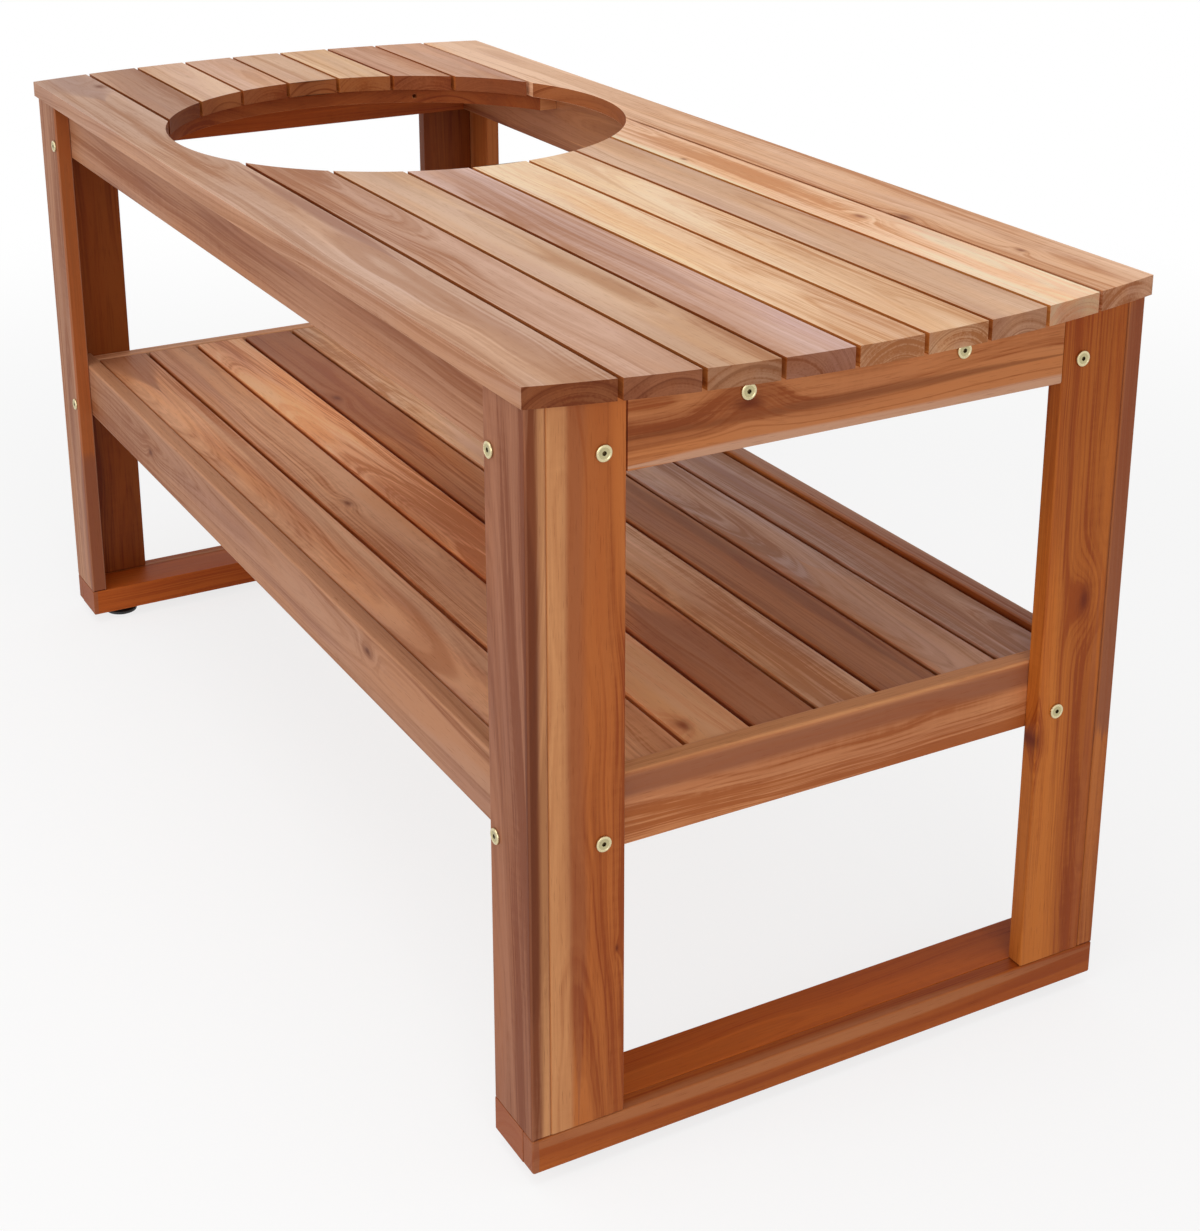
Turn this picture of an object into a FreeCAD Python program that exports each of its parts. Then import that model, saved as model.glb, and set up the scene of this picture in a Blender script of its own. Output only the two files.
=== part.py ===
# Slatted hardwood table with a round cut-out for a kamado grill and an open shelf below it.
#
# Frame: X runs along the table, with the cut-out towards -X (the far end); Y runs across it, with
# the left side at -Y; Z is up. The origin is on the floor, under the middle of the table.
# Sizes are in millimetres.
import FreeCAD
import Part
import Sketcher

import math
import os
import re

# Driving dimensions: name, value, meaning
SIZES = [
    ("table_height", 795, "floor to the top face"),
    ("frame_length", 1480, "over the end faces of the legs"),
    ("top_thickness", 20, "boards of the top"),
    ("top_overhang", 4, "top past the legs, at the corners"),
    ("end_bow", 45, "rise of each end's arc past the corners"),
    ("edge_board_width", 80, "the two outer boards of the top"),
    ("top_slats", 7, "slats between the edge boards"),
    ("slat_gap", 5, "between the boards of the top"),
    ("hole_radius", 292, "cut-out for the grill"),
    ("hole_from_end", 470, "cut-out's centre from the far end of the frame"),
    ("hole_to_rail", 5.5, "long aprons and shelf rails outside the cut-out"),
    ("cleat_thickness", 20, "boards under the top"),
    ("cleat_setback", 10, "arc of the cleats behind the cut-out's rim"),
    ("cleat_waist", 68, "narrowest part of a cleat"),
    ("batten_width", 40, "straight battens under the slats"),
    ("batten_from_end", 340, "middle of the top's batten from the end of the frame"),
    ("leg_board_width", 78, "both boards of a leg"),
    ("leg_thickness", 20, "both boards of a leg"),
    ("rail_thickness", 20, "aprons and rails"),
    ("apron_height", 75, "aprons and rails under the top"),
    ("shelf_rail_height", 75, "rails of the shelf"),
    ("shelf_height", 399, "floor to the top of the shelf's rails"),
    ("shelf_slats", 8, "slats of the shelf"),
    ("shelf_slat_gap", 4.8, "between the slats of the shelf and beside the rails"),
    ("shelf_slat_thickness", 20, "slats of the shelf"),
    ("shelf_slat_drop", 5, "slats below the top of the rails"),
    ("shelf_end_gap", 3, "ends of the slats from the end rails"),
    ("runner_height", 36, "bar under the two legs of an end"),
    ("arris", 1.5, "flat taken off the edges of the boards"),
    ("bolt_radius", 4, "bolts and foot studs"),
    ("bolt_head_radius", 8.25, "flat heads of the bolts"),
    ("bolt_head_height", 2.5, "flat heads of the bolts"),
    ("bolt_hole_play", 0.1, "hole in a leg board round a bolt"),
    ("bolt_tip_gap", 1, "end of a bolt short of the end of its nut"),
    ("nut_radius", 6, "insert nuts in the rails and runners"),
    ("nut_length", 15, "insert nuts in the rails and runners"),
    ("thread_play", 0.09, "nut round a bolt or stud"),
    ("end_bolt_from_side", 75, "bolts through the end boards"),
    ("end_bolt_up", 22, "the same bolts above the edge of their rail"),
    ("side_bolt_from_end", 66, "bolts through the side boards"),
    ("side_bolt_up", 17, "the same bolts above the edge of their rail"),
    ("apron_bolt_place", 118, "bolts of the end aprons from the middle"),
    ("apron_bolt_down", 22, "the same bolts below the top"),
    ("screw_radius", 2, "wood screws"),
    ("screw_length", 35, "wood screws under the head"),
    ("screw_head_radius", 4, "wood screws"),
    ("screw_head_height", 2, "wood screws"),
    ("screw_head_play", 0.2, "recess round the head of a screw"),
    ("screw_from_edge", 18, "screws from the edge of the board they pass"),
    ("screw_grip", 20, "wood left above a counterbore in a runner"),
    ("pad_radius", 22.5, "foot pads"),
    ("pad_height", 11, "foot pads"),
    ("pad_rim", 6, "upright side of a foot pad"),
    ("pad_crown_radius", 12, "flat top of a foot pad"),
    ("pad_floor", 3, "under the stud in a foot pad"),
    ("stud_tip_gap", 0.3, "stud above the floor of its pad"),
    ("collar_height", 4, "hexagon of a foot stud"),
    ("collar_flats", 14, "hexagon of a foot stud"),
    ("stud_reach", 28, "foot stud above its hexagon"),
    ("stud_bore_play", 0.5, "bore above the foot's nut"),
    ("stud_bore_spare", 3, "bore above the end of a foot stud"),
    ("foot_from_end", 42, "middle of a foot from the end of the frame"),
    ("foot_from_side", 50, "middle of a foot from the side of the frame"),
]

# Sizes that follow from the driving ones
DERIVED = {
    "half_length": "frame_length / 2",
    "half_width": "hole_radius + hole_to_rail + rail_thickness + leg_thickness",
    "foot_height": "pad_height + collar_height",
    "runner_top": "foot_height + runner_height",
    "top_underside": "table_height - top_thickness",
    "cleat_bottom": "top_underside - cleat_thickness",
    "apron_bottom": "top_underside - apron_height",
    "shelf_bottom": "shelf_height - shelf_rail_height",
    "shelf_slat_bottom": "shelf_height - shelf_slat_drop - shelf_slat_thickness",
    "shelf_batten_bottom": "shelf_slat_bottom - cleat_thickness",
    "top_half_length": "half_length + top_overhang",
    "top_half_width": "half_width + top_overhang",
    "bow_radius": "(top_half_width^2 + end_bow^2) / (2 * end_bow)",
    "bow_centre": "top_half_length + end_bow - bow_radius",
    "hole_x": "hole_from_end - half_length",
    "edge_board_inner": "top_half_width - edge_board_width",
    "slat_width": "(2 * edge_board_inner - (top_slats + 1) * slat_gap) / top_slats",
    "slat_pitch": "slat_width + slat_gap",
    "bite_half": "sqrt(hole_radius^2 - edge_board_inner^2)",
    "cleat_radius": "hole_radius + cleat_setback",
    "cleat_reach": "cleat_radius + cleat_waist",
    "rail_outer": "half_width - leg_thickness",
    "rail_inner": "rail_outer - rail_thickness",
    "end_rail_outer": "half_length - leg_thickness",
    "end_rail_inner": "end_rail_outer - rail_thickness",
    "end_board_inner": "rail_outer - leg_board_width",
    "shelf_slat_width": "(2 * rail_inner - (shelf_slats + 1) * shelf_slat_gap) / shelf_slats",
    "shelf_pitch": "shelf_slat_width + shelf_slat_gap",
    "shelf_slat_end": "end_rail_inner - shelf_end_gap",
    "shelf_batten_place": "end_rail_inner - batten_width / 2",
    "batten_place": "half_length - batten_from_end",
    "end_bolt_y": "half_width - end_bolt_from_side",
    "side_bolt_x": "half_length - side_bolt_from_end",
    "runner_back": "half_length - leg_board_width",
    "leg_end_middle": "rail_outer - leg_board_width / 2",
    "foot_x": "half_length - foot_from_end",
    "foot_y": "half_width - foot_from_side",
}

NAMES = [name for name, _, _ in SIZES]
ENDS = {"near": 1, "far": -1}
SIDES = {"left": -1, "right": 1}
ALONG = {
    "x": FreeCAD.Rotation(FreeCAD.Vector(0, 1, 0), 90),
    "y": FreeCAD.Rotation(FreeCAD.Vector(1, 0, 0), -90),
    "z": FreeCAD.Rotation(),
}

doc = FreeCAD.newDocument("KamadoTable")
sheet = doc.addObject("Spreadsheet::Sheet", "Sizes")
for row, (name, size, meaning) in enumerate(SIZES, start=1):
    sheet.set(f"A{row}", name)
    sheet.set(f"B{row}", str(size))
    sheet.set(f"C{row}", meaning)
    sheet.setAlias(f"B{row}", name)
doc.recompute()

parts = []


def formula(text):
    """Writes derived names out in full and points the driving ones at the spreadsheet."""

    def swap(match):
        word = match.group(0)
        if word in DERIVED:
            return f"({formula(DERIVED[word])})"
        return f"Sizes.{word}" if word in NAMES else word

    return re.sub(r"[a-z][a-z_]*", swap, str(text))


def value(text):
    """The number that a formula gives now."""
    return float(sheet.evalExpression(formula(text)))


def bind(thing, **properties):
    """Ties properties to formulas; a double underscore stands for a dot."""
    for name, text in properties.items():
        thing.setExpression(name.replace("__", "."), formula(text))


def place(thing, x, y, z):
    bind(thing, Placement__Base__x=x, Placement__Base__y=y, Placement__Base__z=z)


def new_body(label, x="0", y="0", z="0"):
    body = doc.addObject("PartDesign::Body", label)
    body.Label = label
    place(body, x, y, z)
    parts.append(body)
    return body


def outline(body, role, corners, arcs=()):
    """Closed sketch on an origin plane of the body.

    corners: (x formula, y formula, which of the two are fixed: "xy", "x" or "y").
    arcs: {index of the edge's first corner: (centre x, radius, +1 counter-clockwise or -1)}.
    """
    sketch = body.newObject("Sketcher::SketchObject", f"{body.Name}_outline")
    plane = [item for item in body.Origin.OriginFeatures if item.Role == role][0]
    sketch.AttachmentSupport = (plane, [""])
    sketch.MapMode = "FlatFace"
    points = [FreeCAD.Vector(value(x), value(y), 0) for x, y, _ in corners]
    ends = []
    for index, start in enumerate(points):
        end = points[(index + 1) % len(points)]
        if index not in arcs:
            sketch.addGeometry(Part.LineSegment(start, end), False)
            ends.append((1, 2))
            continue
        centre_x, radius, turn = arcs[index]
        centre = FreeCAD.Vector(value(centre_x), 0, 0)
        first, last = (start, end) if turn > 0 else (end, start)
        angles = [math.atan2((point - centre).y, (point - centre).x) for point in (first, last)]
        if angles[1] < angles[0]:
            angles[1] += 2 * math.pi
        circle = Part.Circle(centre, FreeCAD.Vector(0, 0, 1), value(radius))
        sketch.addGeometry(Part.ArcOfCircle(circle, *angles), False)
        ends.append((1, 2) if turn > 0 else (2, 1))
    for index in range(len(points)):
        after = (index + 1) % len(points)
        sketch.addConstraint(Sketcher.Constraint("Coincident", index, ends[index][1], after, ends[after][0]))
    for index, (x, y, fixed) in enumerate(corners):
        for axis, text in (("x", x), ("y", y)):
            if axis in fixed:
                kind = "Distance" + axis.upper()
                fix(sketch, f"{axis}{index}", text, kind, -1, 1, index, ends[index][0], value(text))
    for index, (centre_x, radius, _) in dict(arcs).items():
        fix(sketch, f"centre{index}", centre_x, "DistanceX", -1, 1, index, 3, value(centre_x))
        sketch.addConstraint(Sketcher.Constraint("PointOnObject", index, 3, -1))
        fix(sketch, f"radius{index}", radius, "Radius", index, value(radius))
    return sketch


def fix(sketch, name, text, *constraint):
    """Adds a named constraint and ties it to a formula."""
    number = sketch.addConstraint(Sketcher.Constraint(*constraint))
    sketch.renameConstraint(number, name)
    sketch.setExpression(f"Constraints.{name}", formula(text))


def pad(body, sketch, thickness):
    feature = body.newObject("PartDesign::Pad", f"{body.Name}_pad")
    feature.Profile = sketch
    bind(feature, Length=thickness)
    sketch.Visibility = False
    doc.recompute()
    return feature


def ease(body, base, faces_or_edges):
    """Takes the arris off the named faces' or edges' corners."""
    feature = body.newObject("PartDesign::Chamfer", f"{body.Name}_arris")
    feature.Base = (base, faces_or_edges)
    bind(feature, Size="arris")


def top_face(feature):
    """Name of the feature's highest level face."""
    heights = [(face.CenterOfMass.z, index) for index, face in enumerate(feature.Shape.Faces, start=1)]
    return f"Face{max(heights)[1]}"


def board(label, low, size):
    """Straight board with eased long edges, from its low corner and its three sizes."""
    body = new_body(label, *low)
    blank = body.newObject("PartDesign::AdditiveBox", f"{label}_blank")
    bind(blank, Length=size[0], Width=size[1], Height=size[2])
    doc.recompute()
    sizes = [value(text) for text in size]
    longest = max(sizes)
    edges = [f"Edge{index}" for index, edge in enumerate(blank.Shape.Edges, start=1)
             if abs(edge.Length - longest) < 0.001]
    ease(body, blank, edges)
    return body, low


def aim(cutter, piece, along, spot):
    """Turns a hole's cutter along one axis and puts it at a point in the table's frame."""
    cutter.Placement = FreeCAD.Placement(FreeCAD.Vector(), ALONG[along])
    place(cutter, *(f"({at}) - ({corner})" for at, corner in zip(spot, piece[1])))


def bore(piece, along, spot, radius, depth):
    """Round hole in a board along one axis."""
    cutter = piece[0].newObject("PartDesign::SubtractiveCylinder", f"{piece[0].Name}_bore")
    bind(cutter, Radius=radius, Height=depth)
    aim(cutter, piece, along, spot)


def nut_pocket(piece, along, spot):
    """Six-sided pocket for an insert nut."""
    cutter = piece[0].newObject("PartDesign::SubtractivePrism", f"{piece[0].Name}_pocket")
    cutter.Polygon = 6
    bind(cutter, Circumradius="nut_radius", Height="nut_length")
    aim(cutter, piece, along, spot)


def group(label, shapes):
    """Separate identical pieces kept in one node."""
    feature = doc.addObject("Part::Feature", label)
    feature.Label = label
    feature.Shape = Part.makeCompound(shapes)
    feature.Placement = FreeCAD.Placement()
    parts.append(feature)


def signed(sign, text):
    return f"{sign} * ({text})"


def low_side(sign, inner, outer):
    """The lower of two places that are mirrored with the sign."""
    return f"({inner})" if sign > 0 else f"-({outer})"


# Top


def bow_x(sign, y):
    """Where the end's arc crosses a line at y."""
    return signed(sign, f"bow_centre + sqrt(bow_radius^2 - ({y})^2)")


def rim_x(sign, y):
    """Where the cut-out's rim crosses a line at y, on the side that the sign names."""
    chord = signed(sign, f"sqrt(hole_radius^2 - ({y})^2)")
    return f"hole_x + {chord}"


def top_slat(label, sign, index):
    """Slat from the cut-out's rim to the near (+1) or far (-1) end of the table."""
    low = f"slat_pitch * {index} - slat_width / 2"
    high = f"slat_pitch * {index} + slat_width / 2"
    start, end = (rim_x, bow_x) if sign > 0 else (bow_x, rim_x)
    corners = [(cross(sign, y), y, "y") for cross, y in ((start, low), (end, low), (end, high), (start, high))]
    bow = (signed(sign, "bow_centre"), "bow_radius", 1)
    rim = ("hole_x", "hole_radius", -1)
    arcs = {1: bow, 3: rim} if sign > 0 else {1: rim, 3: bow}
    body = new_body(label, z="top_underside")
    feature = pad(body, outline(body, "XY_Plane", corners, arcs), "top_thickness")
    ease(body, feature, [top_face(feature)])


def edge_board(label, side):
    """Outer board of the top, bitten by the cut-out on its inner edge."""
    inner = signed(side, "edge_board_inner")
    outer = signed(side, "top_half_width")
    corners = [
        (bow_x(-1, outer), outer, "y"),
        (bow_x(1, outer), outer, "y"),
        (bow_x(1, inner), inner, "y"),
        (rim_x(1, inner), inner, "y"),
        (rim_x(-1, inner), inner, "y"),
        (bow_x(-1, inner), inner, "y"),
    ]
    turn = -side
    arcs = {
        1: ("bow_centre", "bow_radius", turn),
        3: ("hole_x", "hole_radius", -turn),
        5: ("-bow_centre", "bow_radius", turn),
    }
    body = new_body(label, z="top_underside")
    feature = pad(body, outline(body, "XY_Plane", corners, arcs), "top_thickness")
    ease(body, feature, [top_face(feature)])


def cleat_screw_x(sign):
    return f"hole_x + {signed(sign, 'cleat_reach - screw_from_edge')}"


def slat_rows():
    """Places across the top where a cleat is screwed: one for each slat, one for each edge board."""
    edge = "edge_board_inner + screw_from_edge"
    return [f"-({edge})"] + [f"slat_pitch * {index}" for index in slat_indices()] + [edge]


def slat_indices():
    count = int(round(value("top_slats")))
    return [index - (count - 1) / 2 for index in range(count)]


def arc_cleat(label, sign):
    """Board under the slat ends beside the cut-out, cut to an arc a little behind the rim."""
    outer = f"hole_x + {signed(sign, 'cleat_reach')}"
    inner = f"hole_x + {signed(sign, 'bite_half')}"
    arc_end = "sqrt(cleat_radius^2 - bite_half^2)"
    corners = [
        (outer, "-rail_inner", "xy"),
        (outer, "rail_inner", "xy"),
        (inner, "rail_inner", "xy"),
        (inner, arc_end, "x"),
        (inner, f"-({arc_end})", "x"),
        (inner, "-rail_inner", "xy"),
    ]
    body = new_body(label, z="cleat_bottom")
    sketch = outline(body, "XY_Plane", corners, {3: ("hole_x", "cleat_radius", -sign)})
    pad(body, sketch, "cleat_thickness")


def cross_battens():
    """Straight battens: one under the top's long slats, three under the shelf's."""
    rows = [("batten_place", "cleat_bottom")]
    rows += [(f"{sign} * shelf_batten_place", "shelf_batten_bottom") for sign in (-1, 0, 1)]
    size = [value(text) for text in ("batten_width", "2 * rail_inner", "cleat_thickness")]
    group("cross_battens", [Part.makeBox(*size, point(f"{x} - batten_width / 2", "-rail_inner", z)) for x, z in rows])


# Frame


def leg_boards(name, end, side):
    """Two boards of a leg, with their bolt holes; the side board covers the end board's edge."""
    height = "top_underside - runner_top"
    side_low = (low_side(end, "half_length - leg_board_width", "half_length"),
                low_side(side, "rail_outer", "half_width"), "runner_top")
    piece = board(f"{name}_leg_side_board", side_low, ("leg_board_width", "leg_thickness", height))
    for bottom in ("apron_bottom", "shelf_bottom"):
        spot = (signed(end, "side_bolt_x"), side_low[1], f"{bottom} + side_bolt_up")
        bore(piece, "y", spot, "bolt_radius + bolt_hole_play", "leg_thickness")
    end_low = (low_side(end, "end_rail_outer", "half_length"),
               low_side(side, "end_board_inner", "rail_outer"), "runner_top")
    piece = board(f"{name}_leg_end_board", end_low, ("leg_thickness", "leg_board_width", height))
    for bottom in ("apron_bottom", "shelf_bottom"):
        spot = (end_low[0], signed(side, "end_bolt_y"), f"{bottom} + end_bolt_up")
        bore(piece, "x", spot, "bolt_radius + bolt_hole_play", "leg_thickness")


def long_rail(label, side, bottom, height):
    """Apron or shelf rail between the side boards of two legs, with a nut at each end."""
    low = ("-end_rail_outer", low_side(side, "rail_inner", "rail_outer"), bottom)
    piece = board(label, low, ("2 * end_rail_outer", "rail_thickness", height))
    start = low_side(side, "rail_outer - nut_length", "rail_outer")
    for end in ENDS.values():
        nut_pocket(piece, "y", (signed(end, "side_bolt_x"), start, f"{bottom} + side_bolt_up"))
    return piece


def end_rail(label, end, bottom, height, apron_bolts):
    """Rail behind the end boards of two legs, between the long rails."""
    low = (low_side(end, "end_rail_inner", "end_rail_outer"), "-rail_inner", bottom)
    piece = board(label, low, ("rail_thickness", "2 * rail_inner", height))
    start = low_side(end, "end_rail_outer - nut_length", "end_rail_outer")
    for side in SIDES.values():
        nut_pocket(piece, "x", (start, signed(side, "end_bolt_y"), f"{bottom} + end_bolt_up"))
        if apron_bolts:
            nut_pocket(piece, "x", (start, signed(side, "apron_bolt_place"), "top_underside - apron_bolt_down"))


def end_apron(label, end):
    """Panel between the end boards of two legs, flush with them."""
    low = (low_side(end, "end_rail_outer", "half_length"), "-end_board_inner", "apron_bottom")
    piece = board(label, low, ("leg_thickness", "2 * end_board_inner", "apron_height"))
    for side in SIDES.values():
        spot = (low[0], signed(side, "apron_bolt_place"), "top_underside - apron_bolt_down")
        bore(piece, "x", spot, "bolt_radius + bolt_hole_play", "leg_thickness")


def runner(name, end):
    """Bar under the two legs of an end: a strip in line with the end boards, and a wider member behind it."""
    front_low = (low_side(end, "end_rail_outer", "half_length"), "-half_width", "foot_height")
    front = board(f"{name}_runner_front", front_low, ("leg_thickness", "2 * half_width", "runner_height"))
    rear_low = (low_side(end, "runner_back", "end_rail_outer"), "-half_width", "foot_height")
    rear_size = ("leg_board_width - leg_thickness", "2 * half_width", "runner_height")
    rear = board(f"{name}_runner_rear", rear_low, rear_size)
    for side in SIDES.values():
        screw = (signed(end, "half_length - leg_thickness / 2"), signed(side, "leg_end_middle"), "foot_height")
        bore(front, "z", screw, "screw_head_radius + screw_head_play", "runner_height - screw_grip")
        foot = (signed(end, "foot_x"), signed(side, "foot_y"), "foot_height")
        nut_pocket(rear, "z", foot)
        bore(rear, "z", foot, "bolt_radius + stud_bore_play", "stud_reach + stud_bore_spare")


# Shelf


def shelf_rows():
    """Middle lines of the shelf's slats."""
    count = int(round(value("shelf_slats")))
    return [f"shelf_pitch * {index - (count - 1) / 2}" for index in range(count)]


def shelf_rail(label, side):
    """Long rail of the shelf, with recesses under the legs for the screws into the end battens."""
    piece = long_rail(label, side, "shelf_bottom", "shelf_rail_height")
    start = low_side(side, "rail_outer - screw_head_height", "rail_outer")
    for end in ENDS.values():
        spot = (signed(end, "shelf_batten_place"), start, "shelf_batten_bottom + cleat_thickness / 2")
        bore(piece, "y", spot, "screw_head_radius + screw_head_play", "screw_head_height")


def shelf_slat(label, row):
    low = ("-shelf_slat_end", f"{row} - shelf_slat_width / 2", "shelf_slat_bottom")
    board(label, low, ("2 * shelf_slat_end", "shelf_slat_width", "shelf_slat_thickness"))


# Fasteners


def bolt_spots():
    """Axis, sign, and place on the outer face of each bolt."""
    spots = []
    for end in ENDS.values():
        for side in SIDES.values():
            for bottom in ("apron_bottom", "shelf_bottom"):
                spots.append(("x", end, signed(end, "half_length"), signed(side, "end_bolt_y"),
                              f"{bottom} + end_bolt_up"))
                spots.append(("y", side, signed(end, "side_bolt_x"), signed(side, "half_width"),
                              f"{bottom} + side_bolt_up"))
            spots.append(("x", end, signed(end, "half_length"), signed(side, "apron_bolt_place"),
                          "top_underside - apron_bolt_down"))
    return spots


def facing(axis, sign):
    """Rotation that turns +Z to the axis, the way the sign says."""
    way = {"x": FreeCAD.Vector(sign, 0, 0), "y": FreeCAD.Vector(0, sign, 0), "z": FreeCAD.Vector(0, 0, sign)}
    return FreeCAD.Rotation(FreeCAD.Vector(0, 0, 1), way[axis])


def point(x, y, z):
    return FreeCAD.Vector(value(x), value(y), value(z))


def hexagon(radius, length):
    """Six-sided rod from the origin up, with a corner on the X axis."""
    turns = [math.radians(60 * number) for number in range(7)]
    wire = Part.makePolygon([FreeCAD.Vector(radius * math.cos(turn), radius * math.sin(turn), 0) for turn in turns])
    return Part.Face(wire).extrude(FreeCAD.Vector(0, 0, length))


def moved(shape, spot, turn=FreeCAD.Rotation()):
    return shape.transformed(FreeCAD.Placement(spot, turn).toMatrix())


def bolts():
    """Flat-headed bolts through the leg boards and end aprons."""
    head = Part.makeCylinder(value("bolt_head_radius"), value("bolt_head_height"))
    shank = hexagon(value("bolt_radius"), -value("leg_thickness + nut_length - bolt_tip_gap"))
    bolt = head.fuse(shank)
    group("frame_bolts", [moved(bolt, point(*spot), facing(axis, sign)) for axis, sign, *spot in bolt_spots()])


def insert_nuts():
    """Threaded sleeves in the rails behind the bolts, and in the runners over the feet."""
    bore_radius = value("bolt_radius + thread_play") / math.cos(math.radians(30))
    sleeve = hexagon(value("nut_radius"), value("nut_length")).cut(hexagon(bore_radius, value("nut_length")))
    shapes = []
    for axis, sign, *spot in bolt_spots():
        inward = facing(axis, -sign)
        behind = inward.multVec(FreeCAD.Vector(0, 0, value("leg_thickness")))
        shapes.append(moved(sleeve, point(*spot) + behind, inward))
    for end in ENDS.values():
        for side in SIDES.values():
            shapes.append(moved(sleeve, point(signed(end, "foot_x"), signed(side, "foot_y"), "foot_height")))
    group("insert_nuts", shapes)


def screw_spots():
    """Axis, sign, and place of the head's underside for each wood screw."""
    spots = []
    for end in ENDS.values():
        spots += [("z", 1, cleat_screw_x(end), row, "cleat_bottom") for row in slat_rows()]
        batten_x = signed(end, "shelf_batten_place")
        spots += [("z", 1, batten_x, row, "shelf_batten_bottom") for row in shelf_rows()]
        for side in SIDES.values():
            head = signed(side, "rail_outer - screw_head_height")
            spots.append(("y", -side, batten_x, head, "shelf_batten_bottom + cleat_thickness / 2"))
            leg_x = signed(end, "half_length - leg_thickness / 2")
            spots.append(("z", 1, leg_x, signed(side, "leg_end_middle"), "runner_top - screw_grip"))
    spots += [("z", 1, "batten_place", row, "cleat_bottom") for row in slat_rows()[::2]]
    spots += [("z", 1, "0", row, "shelf_batten_bottom") for row in shelf_rows()[::2]]
    return spots


def wood_screws():
    """Flat-headed screws driven into the wood from below, and into the shelf's end battens."""
    head = hexagon(value("screw_head_radius"), -value("screw_head_height"))
    screw = head.fuse(hexagon(value("screw_radius"), value("screw_length")))
    group("wood_screws", [moved(screw, point(*spot), facing(axis, sign)) for axis, sign, *spot in screw_spots()])


# Feet


def foot_pad(label, x, y):
    """Round pad with a socket for the tip of the stud."""
    body = new_body(label, x, y)
    corners = [
        ("0", "0", "xy"),
        ("pad_radius", "0", "xy"),
        ("pad_radius", "pad_rim", "xy"),
        ("pad_crown_radius", "pad_height", "xy"),
        ("bolt_radius + thread_play", "pad_height", "xy"),
        ("bolt_radius + thread_play", "pad_floor", "xy"),
        ("0", "pad_floor", "xy"),
    ]
    revolve(body, outline(body, "XZ_Plane", corners))


def foot_stud(label, x, y):
    """Threaded stud that turns in its pad, with a hexagon between the pad and the runner."""
    body = new_body(label, x, y)
    bottom = "pad_floor + stud_tip_gap"
    top = "foot_height + stud_reach"
    corners = [
        ("0", bottom, "xy"),
        ("bolt_radius", bottom, "xy"),
        ("bolt_radius", top, "xy"),
        ("0", top, "xy"),
    ]
    revolve(body, outline(body, "XZ_Plane", corners))
    collar = body.newObject("PartDesign::AdditivePrism", f"{body.Name}_collar")
    collar.Polygon = 6
    bind(collar, Circumradius="collar_flats / sqrt(3)", Height="collar_height")
    place(collar, "0", "0", "pad_height")


def revolve(body, sketch):
    """Turns a profile on the XZ plane about the upright axis."""
    feature = body.newObject("PartDesign::Revolution", f"{body.Name}_turned")
    feature.Profile = sketch
    feature.ReferenceAxis = (sketch, ["V_Axis"])
    feature.Angle = 360
    sketch.Visibility = False
    doc.recompute()


def build():
    for side_name, side in SIDES.items():
        edge_board(f"{side_name}_edge_board", side)
    for end_name, end in ENDS.items():
        for number, index in enumerate(slat_indices(), start=1):
            top_slat(f"{end_name}_top_slat_{number}", end, index)
        arc_cleat(f"{end_name}_arc_cleat", end)
    cross_battens()
    for side_name, side in SIDES.items():
        long_rail(f"{side_name}_apron", side, "apron_bottom", "apron_height")
        shelf_rail(f"{side_name}_shelf_rail", side)
    for end_name, end in ENDS.items():
        end_rail(f"{end_name}_top_rail", end, "apron_bottom", "apron_height", True)
        end_rail(f"{end_name}_shelf_rail", end, "shelf_bottom", "shelf_rail_height", False)
        end_apron(f"{end_name}_end_apron", end)
        runner(end_name, end)
        for side_name, side in SIDES.items():
            corner = f"{end_name}_{side_name}"
            leg_boards(corner, end, side)
            foot = (signed(end, "foot_x"), signed(side, "foot_y"))
            foot_pad(f"{corner}_foot_pad", *foot)
            foot_stud(f"{corner}_foot_stud", *foot)
    for number, row in enumerate(shelf_rows(), start=1):
        shelf_slat(f"shelf_slat_{number}", row)
    bolts()
    insert_nuts()
    wood_screws()


def export():
    doc.recompute()
    for thing in doc.Objects:
        if "Invalid" in thing.State or "Error" in thing.State:
            raise RuntimeError(f"{thing.Label} failed: {thing.State}")
    for part in parts:
        if part.Shape.isNull() or not part.Shape.isValid():
            raise RuntimeError(f"{part.Label} has no valid shape")
    os.makedirs("parts", exist_ok=True)
    for part in parts:
        part.Shape.exportStep(f"parts/{part.Label}.step")
        print(f"{part.Label}: {len(part.Shape.Solids)} solids, {part.Shape.Volume / 1000:.1f} cm3")
    print(f"{len(parts)} nodes")


build()
export()
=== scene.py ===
import math

import bpy
from mathutils import Matrix, Vector


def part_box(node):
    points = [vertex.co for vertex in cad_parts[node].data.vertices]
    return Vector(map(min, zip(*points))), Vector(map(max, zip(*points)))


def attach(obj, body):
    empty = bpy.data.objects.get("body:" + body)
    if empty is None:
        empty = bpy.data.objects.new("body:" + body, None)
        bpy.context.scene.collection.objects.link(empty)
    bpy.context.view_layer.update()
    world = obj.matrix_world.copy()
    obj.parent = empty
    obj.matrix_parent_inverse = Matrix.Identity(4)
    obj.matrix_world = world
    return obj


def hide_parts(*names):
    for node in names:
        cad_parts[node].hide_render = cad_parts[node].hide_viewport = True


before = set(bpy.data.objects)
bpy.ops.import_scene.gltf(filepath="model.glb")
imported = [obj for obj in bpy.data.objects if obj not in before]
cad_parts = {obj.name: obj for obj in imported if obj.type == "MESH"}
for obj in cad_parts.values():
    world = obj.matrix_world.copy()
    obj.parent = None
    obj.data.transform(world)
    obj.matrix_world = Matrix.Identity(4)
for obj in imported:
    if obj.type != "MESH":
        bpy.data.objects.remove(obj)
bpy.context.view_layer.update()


# Leg side boards: four upright acacia boards, 78 x 20 mm, on the long sides of the table.
# Sawn, planed, eased along every edge and oiled; each is bolted to the apron and to the shelf rail.
# Every board below gets its wood from the same oiled acacia, with its own rings, colour and knots.

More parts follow.
